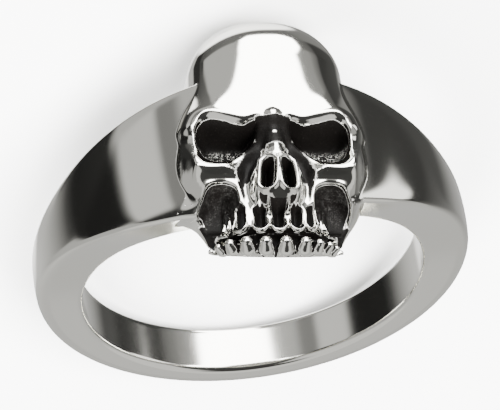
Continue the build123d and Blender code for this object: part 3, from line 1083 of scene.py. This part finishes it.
def table_material(look):
    """A plain pale matt table."""
    material = bpy.data.materials.new("pale_table")
    nodes = Nodes(material)
    colour_of_table = (*look.table, 1)
    shader = nodes.add(
        "ShaderNodeBsdfPrincipled", None, Base_Color=colour_of_table, Roughness=TABLE_ROUGHNESS
    )
    nodes.add("ShaderNodeOutputMaterial", None, Surface=shader.outputs[0])
    return material


# The studio as the ring mirrors it: brightness round the horizon in six belts. Each has its lowest
# elevation, and then azimuths from the front towards +X with their brightness, in degrees.
HORIZONS = (
    (-90, ((-180, 2.4), (-60, 4.0), (60, 4.0), (180, 2.4))),
    (-69, (
        (-180, 2.5), (-155, 2.5), (-140, 0.30), (-112, 0.30), (-60, 0.25), (-50, 0.20), (10, 0.20),
        (75, 0.09), (80, 0.035), (110, 0.035), (118, 0.70), (150, 0.70), (160, 2.5), (180, 2.5),
    )),
    (-49, (
        (-180, 0.70), (-150, 0.70), (-126, 0.40), (-110, 0.09), (-60, 0.06), (-55, 0.14), (-44, 0.20),
        (8, 0.60), (60, 0.60), (66, 0.03), (93, 0.02), (100, 0.07), (112, 0.35), (125, 0.60),
        (142, 0.80), (180, 0.70),
    )),
    (-32, (
        (-180, 0.65), (-150, 0.65), (-126, 0.38), (-116, 0.22), (-106, 0.14), (-99, 0.10), (-92, 0.055),
        (-60, 0.055), (-56, 0.18), (-50, 0.26), (-45, 0.38), (10, 0.60), (24, 0.60), (29, 0.26),
        (37, 0.24), (40, 0.80), (58, 0.80), (61, 0.20), (64, 0.018), (93, 0.018), (97, 0.07),
        (102, 0.13), (108, 0.13), (112, 0.38), (123, 0.60), (142, 0.80), (160, 0.70), (180, 0.65),
    )),
    (7, ((-180, 0.75), (-130, 0.65), (-90, 0.45), (0, 0.50), (90, 0.50), (130, 0.70), (180, 0.75))),
    (24, ((-180, 0.9), (180, 0.9))),
)
HORIZON_SOFT = 5.0
# The ramps hold brightness as shares of this
HORIZON_SCALE = 3.0
# Panels and dark flags over them. Columns: lowest and highest azimuth, lowest and highest elevation,
# softness of the edges, all in degrees, and brightness.
PANELS = (
    (62, 130, -12, 24, 6, 0.55),
    (97, 130, -30, -8, 6, 0.55),
    (36, 61, -9, 10, 5, 0.03),
    (-44, 30, 2, 14, 4, 13.0),
    (-60, 34, 22, 100, 10, 0.06),
    (-200, 200, 68, 100, 10, 0.05),
)
# A pale wall to the right whose near edge slants: its far azimuth, the lowest and highest elevation,
# how many degrees the near edge moves for each degree of elevation, its place at the horizon, the
# edges' softness and the brightness
SIDE_WALL = (-80, -20, 0, 1.1, -48.7, 5, 2.4)
# The main soft box has a waist. Columns: elevation, lowest and highest azimuth there, in degrees.
SOFT_BOX = (
    (-56, -34, -14),
    (-50, -41, -4),
    (-35, -38, 0),
    (-27, -33, 1),
    (-20, -28, 2),
    (-16, -28, 3),
    (-12, -34, 8),
    (-6, -40, 17),
    (0, -44, 21),
    (5, -40, 17),
    (10, -28, 5),
)
SOFT_BOX_LIGHT = 14.0
SOFT_BOX_EDGE = 2.0
# Its ramps hold azimuths as shares of this span to each side
SOFT_BOX_SPAN = 60.0
WORLD_TINT = (1.0, 1.0, 0.98, 1)


def studio_world():
    """A studio of soft panels and dark flags, a later one in the list lying over an earlier one."""
    world = bpy.data.worlds.new("studio")
    nodes = Nodes(world)
    way = nodes.add("ShaderNodeTexCoord").outputs["Generated"]
    parts = nodes.add("ShaderNodeSeparateXYZ", None, in_0=way).outputs
    x, y, z = (Value(nodes, part) for part in parts)
    azimuth = x.math("ARCTAN2", y * -1) * math.degrees(1)
    elevation = z.math("ARCSINE") * math.degrees(1)
    round_share = azimuth * (1 / 360) + 0.5
    level = None
    for low, stops in HORIZONS:
        shares = [((at + 180) / 360, brightness / HORIZON_SCALE) for at, brightness in stops]
        here = nodes.ramp(round_share, shares) * HORIZON_SCALE
        if level is None:
            level = here
        else:
            rise = elevation.between(low - HORIZON_SOFT / 2, low + HORIZON_SOFT / 2)
            level = level + rise * (here - level)
    for west, east, low, high, soft, brightness in PANELS:
        mask = azimuth.window(west, east, soft) * elevation.window(low, high, soft)
        level = level + mask * (brightness - level)
    far, low, high, slant, near, soft, brightness = SIDE_WALL
    slanted = azimuth - elevation * slant
    mask = azimuth.between(far - soft, far) * (1 - slanted.between(near - soft / 2, near + soft / 2))
    mask = mask * elevation.window(low, high, soft)
    level = level + mask * (brightness - level)
    heights = [row[0] for row in SOFT_BOX]
    lowest, span = heights[0], heights[-1] - heights[0]
    height_share = (elevation - lowest) * (1 / span)
    sides = []
    for column in (1, 2):
        stops = [((row[0] - lowest) / span, 0.5 + row[column] / (2 * SOFT_BOX_SPAN)) for row in SOFT_BOX]
        sides.append((nodes.ramp(height_share, stops) - 0.5) * (2 * SOFT_BOX_SPAN))
    edge = SOFT_BOX_EDGE
    mask = (azimuth - sides[0]).between(-edge, edge) * (sides[1] - azimuth).between(-edge, edge)
    mask = mask * elevation.window(lowest, heights[-1], 2 * edge)
    level = level + mask * (SOFT_BOX_LIGHT - level)
    background = nodes.add("ShaderNodeBackground", None, Color=WORLD_TINT, Strength=level)
    nodes.add("ShaderNodeOutputWorld", None, Surface=background.outputs[0])
    return world


# Marks on the metal, in the skull's frame. Blackening comes where the ring closes in at some reach.
# Columns: reach and weight. Then the values over which it comes, and the same for a recess's depth.
CLOSED_REACHES = ((0.25, 0.5), (0.6, 0.8), (1.2, 0.9))
CLOSED_FROM, DEPTH_FROM = (0.30, 0.8), (0.15, 0.42)
# Crests thinner than this are worn bright, and the roots keep more of their black
CREST_REACH, CREST_FROM, ROOT_CREST_FROM = 0.15, (0.12, 0.45), (0.25, 0.6)
# How far forward a mark starts, along Y
FACE_FROM, VALLEY_MARK_FROM, BRIDGE_FROM, SOCKET_FLOOR_FROM = -11.5, -12.0, -12.6, -12.9
VALLEY_MARK, VALLEY_MARK_FADES, VALLEY_MARK_FADE = (0.92, 0.60), (0.5, 0.8), 0.9
# Painted dark reflection on the bridge of the nose: the metal is darkened as if it mirrored dark
# surroundings, with a painted highlight, the glint, left silver in it
BRIDGE_PAINTED_DARK, BRIDGE_SIDE, BRIDGE_HEIGHTS = 0.70, (0.85, 1.25), ((-1.45, -0.85), (0.80, 1.20))
GLINT, GLINT_HEIGHT, GLINT_SIZE = 0.5, -0.18, 0.02
ROOT_BLACK, ROOT_SIDE, ROOT_TO, ROOT_HEIGHTS = 0.8, (2.25, 2.6), 3.4, ((-6.4, -6.1), (-3.6, -3.2))
CORNER_PLACE, CORNER_SIZE = (4.1, -5.7), (0.5, 1.1)
FLOOR_SIDE, FLOOR_HEIGHTS = ((1.3, 1.9), (4.2, 4.6)), ((-2.3, -2.0), (-0.25, 0.15))
HOLLOW_GRAIN, HOLLOW_SIDE, HOLLOW_HEIGHTS = 0.3, (1.9, 2.3), ((-5.2, -4.6), (-3.2, -2.9))
PITTED_PLACE, PITTED_SIZE = (4.75, -4.1), 0.8
# Painted shade between the lower teeth, where they lie in shadow: below the tips and in front of the gum, and
# the share of a half width
TEETH_BELOW, TEETH_BELOW_TO, TEETH_BEFORE, TEETH_CLEAR = -6.5, -6.7, 0.6, (0.78, 1.0)
JAW_PLACES = np.linspace(-6, 6, 241)


def painted_shade_between_lower_teeth(points, axis):
    """Painted shade: how far points on the front of the lower jaw lie between its teeth, 0 on a tooth, 1
    between.
    """
    share = np.zeros(len(points))
    low = np.nonzero((points[:, Z] < TEETH_BELOW) & (points[:, Y] < -axis - TEETH_BEFORE))[0]
    ax, ay, _, _ = arch_spots(LOWER_ARCH, JAW_PLACES)
    angle = np.arctan2(points[low, X], -points[low, Y] - axis)
    place = np.interp(angle, np.arctan2(ax, -ay), JAW_PLACES)
    clear = np.min([np.abs(place - spot) / half for spot, half in LOWER_TEETH], 0)
    share[low] = step_up(*TEETH_CLEAR, clear) * step_up(TEETH_BELOW, TEETH_BELOW_TO, points[low, Z])
    return share


def skull_marks(points, normals, field, filled, axis):
    """Dark patina with painted shade and a painted dark reflection in places, grain and pits at points of the
    front.
    """
    patina_and_shade_share = np.zeros(len(points))
    for reach, weight in CLOSED_REACHES:
        open_share = chunked(field, points + normals * reach) / reach
        patina_and_shade_share = np.maximum(patina_and_shade_share, weight * (1 - open_share))
    patina_and_shade_share = np.maximum(step_up(*CLOSED_FROM, patina_and_shade_share), step_up(*DEPTH_FROM, -chunked(filled, points)))
    crest = 1 + chunked(field, points - normals * CREST_REACH) / CREST_REACH
    side, along, level = np.abs(points[:, X]), points[:, Y], points[:, Z]
    outside = along < FACE_FROM

    valley, down = from_line(side, level, VALLEY)
    beside_nose = bell(valley, *VALLEY_MARK) * (along < VALLEY_MARK_FROM)
    beside_nose = beside_nose * (1 - VALLEY_MARK_FADE * step_up(*VALLEY_MARK_FADES, down))
    patina_and_shade_share = np.maximum(patina_and_shade_share, beside_nose) * (1 - step_up(*CREST_FROM, crest))

    # Painted dark reflection: the bridge of the nose is darkened as if it mirrored something dark, with a
    # painted highlight left bright at the glint
    bridge = (1 - step_up(*BRIDGE_SIDE, side)) * within(level, *BRIDGE_HEIGHTS) * (along < BRIDGE_FROM)
    glint = GLINT * np.exp(-(side**2 + (level - GLINT_HEIGHT) ** 2) / GLINT_SIZE)
    patina_and_shade_share = np.maximum(patina_and_shade_share, bridge * (BRIDGE_PAINTED_DARK - glint))

    roots = step_up(*ROOT_SIDE, side) * within(level, *ROOT_HEIGHTS) * outside * (side < ROOT_TO)
    patina_and_shade_share = np.maximum(patina_and_shade_share, ROOT_BLACK * roots * (1 - step_up(*ROOT_CREST_FROM, crest)))

    corner = np.hypot(side - CORNER_PLACE[0], level - CORNER_PLACE[1])
    patina_and_shade_share = np.maximum(patina_and_shade_share, outside * (1 - step_up(*CORNER_SIZE, corner)))
    # Painted shade between the lower teeth, where they lie in shadow
    patina_and_shade_share = np.maximum(patina_and_shade_share, painted_shade_between_lower_teeth(points, axis))

    floor = (along > SOCKET_FLOOR_FROM) * within(side, *FLOOR_SIDE) * within(level, *FLOOR_HEIGHTS)
    in_hollow = step_up(*HOLLOW_SIDE, side) * within(level, *HOLLOW_HEIGHTS) * outside
    grain = patina_and_shade_share * (floor + HOLLOW_GRAIN * in_hollow)
    from_pits = (side - PITTED_PLACE[0]) ** 2 + (level - PITTED_PLACE[1]) ** 2
    return dict(zip(MARKS, (patina_and_shade_share, grain, np.exp(-from_pits / PITTED_SIZE) * outside)))


# Operators

# How the band's grid settles on its field
BAND_CELL, BAND_ROUNDS = 0.3, 5


class RING_OT_band(bpy.types.Operator):
    """Builds the band round the back of the hole."""

    bl_idname = "ring.build_band"
    bl_label = "Build band"

    def execute(self, context):
        sizes = context.scene.ring_band

        def field(x, y, z):
            return with_hole(band_walls(x, y, z, sizes), x, y, sizes)

        points = band_surface(sizes)
        faces = grid_faces(*points.shape[:2])
        points = settled(field, points.reshape(-1, 3), BAND_CELL, BAND_ROUNDS)
        normals = unit(slopes(field, points, SLOPE_REACH))
        marks = {mark: np.zeros(len(points)) for mark in MARKS}
        look = silver_material(context.scene.ring_silver, "band_silver", BAND_HAIRLINES)
        metal_piece("band", points, faces, marks, normals, look)
        return {"FINISHED"}


# The box round the front of the ring, and the cell with which its edge settles
FRONT_LOW, FRONT_HIGH = (-10.6, -15.7, -8.3), (10.6, -4.9, 9.2)
RIM_CELL, RIM_ROUNDS = 0.06, 3
# Where the front is parted into pieces: to each side, above and below
PART_SIDE, PART_ABOVE, PART_BELOW = 5.7, 1.9, -2.9


def trimmed(points, faces, field):
    """Faces up to the angle where the band's own grid starts, their edge drawn onto that angle."""
    upright = points @ HEAD_TURN.T
    angle = np.degrees(np.arctan2(upright[:, X], -upright[:, Y]))
    kept = faces[np.abs(angle[faces].mean(1)) < FRONT_TO]
    edges = np.sort(np.stack([kept, np.roll(kept, -1, 1)], -1).reshape(-1, 2), 1)
    edges, uses = np.unique(edges, axis=0, return_counts=True)
    rim = np.unique(edges[uses == 1])
    target = np.sign(angle[rim]) * math.radians(FRONT_TO)
    for rounds in range(RIM_ROUNDS + 1):
        if rounds:
            upright[rim] = settled(field, upright[rim] @ HEAD_TURN, RIM_CELL) @ HEAD_TURN.T
        radius = np.hypot(upright[rim, X], upright[rim, Y])
        upright[rim, X], upright[rim, Y] = radius * np.sin(target), -radius * np.cos(target)
    return upright @ HEAD_TURN, kept


class RING_OT_skull(bpy.types.Operator):
    """Builds the front of the ring in pieces that meet without a gap, and blackens its recesses, with painted
    shade between the lower teeth and a painted dark reflection on the nose's bridge.
    """

    bl_idname = "ring.build_skull"
    bl_label = "Build skull"

    def execute(self, context):
        sizes, band = context.scene.ring_skull, context.scene.ring_band
        cell = sizes.cell / MM * 1

        def field(x, y, z):
            return ring_field(x, y, z, sizes, band)

        def filled(x, y, z):
            return ring_field(x, y, z, sizes, band, filled=True)

        points, faces = field_surface(field, FRONT_LOW, FRONT_HIGH, cell)
        points = settled(field, points, cell)
        points, faces = trimmed(points, faces, field)
        normals = unit(slopes(field, points, SLOPE_REACH))
        marks = skull_marks(points, normals, field, filled, sizes.axis / MM)
        look = silver_material(context.scene.ring_silver, "skull_silver", SKULL_HAIRLINES)
        middle = points[faces].mean(1)
        beside = np.abs(middle[:, X]) > PART_SIDE
        above, below = middle[:, Z] >= PART_ABOVE, middle[:, Z] < PART_BELOW
        shares = {
            "skull_crown": above & ~beside,
            "skull_face": ~above & ~below & ~beside,
            "skull_jaw": below & ~beside,
            "shoulder_left": beside & (middle[:, X] < 0),
            "shoulder_right": beside & (middle[:, X] > 0),
        }
        for name, chosen in shares.items():
            used, corners = np.unique(faces[chosen], return_inverse=True)
            own = {mark: values[used] for mark, values in marks.items()}
            place, way = points[used] @ HEAD_TURN.T, normals[used] @ HEAD_TURN.T
            metal_piece(name, place, corners.reshape(-1, 4), own, way, look)
        return {"FINISHED"}


# The picture's frame and the ring's place in it, in its pixels
FRAME_WIDTH, FRAME_HEIGHT = 500, 410
HOLE_PIXEL = (250.0, 262.7)
PIXELS_PER_MM = 17.28
CAMERA_RANGE = 0.005, 10
# Lamps: place and power
LAMPS = {"key": ((-0.2, -0.3, 0.7), 50.0), "fill": ((0.4, 0.2, 0.6), 34.0)}
LAMP_SIZE = 0.6


def camera_matrix(look):
    """The camera's right, up and back, and its place, in the frame that the ring lies in."""
    below, roll = look.below, look.roll
    ahead = np.array([0, math.cos(below), math.sin(below)])
    over = np.array([0, -math.sin(below), math.cos(below)])
    right = np.array([1.0, 0, 0])
    rolled_right = math.cos(roll) * right - math.sin(roll) * over
    rolled_up = math.sin(roll) * right + math.cos(roll) * over
    aside = turn(Z, -math.degrees(look.aside))
    matrix = np.eye(4)
    for column, way in enumerate((rolled_right, rolled_up, -ahead)):
        matrix[:3, column] = REST_TURN @ aside @ way
    matrix[:3, 3] = HOLE_MIDDLE + matrix[:3, 2] * look.distance
    return Matrix(matrix.tolist())


class RING_OT_stage(bpy.types.Operator):
    """Lays the table, sets the lights and places the camera."""

    bl_idname = "ring.build_stage"
    bl_label = "Build stage"

    def execute(self, context):
        look = context.scene.ring_stage
        half = look.table_size / 2
        mesh = bpy.data.meshes.new("table")
        corners = [(-half, -half, 0), (half, -half, 0), (half, half, 0), (-half, half, 0)]
        mesh.from_pydata(corners, [], [(0, 1, 2, 3)])
        mesh.materials.append(table_material(look))
        table = bpy.data.objects.new("table", mesh)
        context.scene.collection.objects.link(table)
        table.visible_glossy = False

        camera = bpy.data.cameras.new("camera")
        camera.sensor_fit = "HORIZONTAL"
        camera.angle = 2 * math.atan(FRAME_WIDTH / 2 * MM / PIXELS_PER_MM / look.distance)
        camera.shift_x = (FRAME_WIDTH / 2 - HOLE_PIXEL[0]) / FRAME_WIDTH
        camera.shift_y = (HOLE_PIXEL[1] - FRAME_HEIGHT / 2) / FRAME_WIDTH
        camera.clip_start, camera.clip_end = CAMERA_RANGE
        holder = bpy.data.objects.new("camera", camera)
        holder.matrix_world = camera_matrix(look)
        context.scene.collection.objects.link(holder)
        context.scene.camera = holder

        for name, (place, power) in LAMPS.items():
            lamp = bpy.data.lights.new(name, "AREA")
            lamp.size = LAMP_SIZE
            lamp.energy = power
            holder = bpy.data.objects.new(name, lamp)
            holder.location = place
            holder.rotation_euler = (-Vector(place)).to_track_quat("-Z", "Y").to_euler()
            holder.visible_glossy = False
            context.scene.collection.objects.link(holder)
        context.scene.world = studio_world()
        return {"FINISHED"}


class RING_PT_panel(bpy.types.Panel):
    """Lists the ring's operators and sizes."""

    bl_label = "Skull Ring"
    bl_idname = "RING_PT_panel"
    bl_space_type = "VIEW_3D"
    bl_region_type = "UI"
    bl_category = "Skull Ring"

    def draw(self, context):
        for operator in BUILDERS:
            self.layout.operator(operator.bl_idname)
        for group in GROUPS:
            box = self.layout.box()
            settings = getattr(context.scene, group)
            for field in settings.bl_rna.properties:
                if field.identifier not in ("rna_type", "name"):
                    box.prop(settings, field.identifier)


GROUPS = {
    "ring_band": BandSizes, "ring_skull": SkullSizes, "ring_silver": SilverLook, "ring_stage": StageLook,
}
BUILDERS = (RING_OT_stage, RING_OT_band, RING_OT_skull)


def register():
    for group in GROUPS.values():
        bpy.utils.register_class(group)
    for name, group in GROUPS.items():
        setattr(bpy.types.Scene, name, bpy.props.PointerProperty(type=group))
    for part in (*BUILDERS, RING_PT_panel):
        bpy.utils.register_class(part)


def unregister():
    for part in reversed((*BUILDERS, RING_PT_panel)):
        bpy.utils.unregister_class(part)
    for name in GROUPS:
        delattr(bpy.types.Scene, name)
    for group in reversed(list(GROUPS.values())):
        bpy.utils.unregister_class(group)


def main():
    """Builds everything."""
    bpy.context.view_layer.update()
    register()
    bpy.ops.ring.build_stage()
    bpy.ops.ring.build_band()
    bpy.ops.ring.build_skull()


if __name__ == "__main__":
    main()
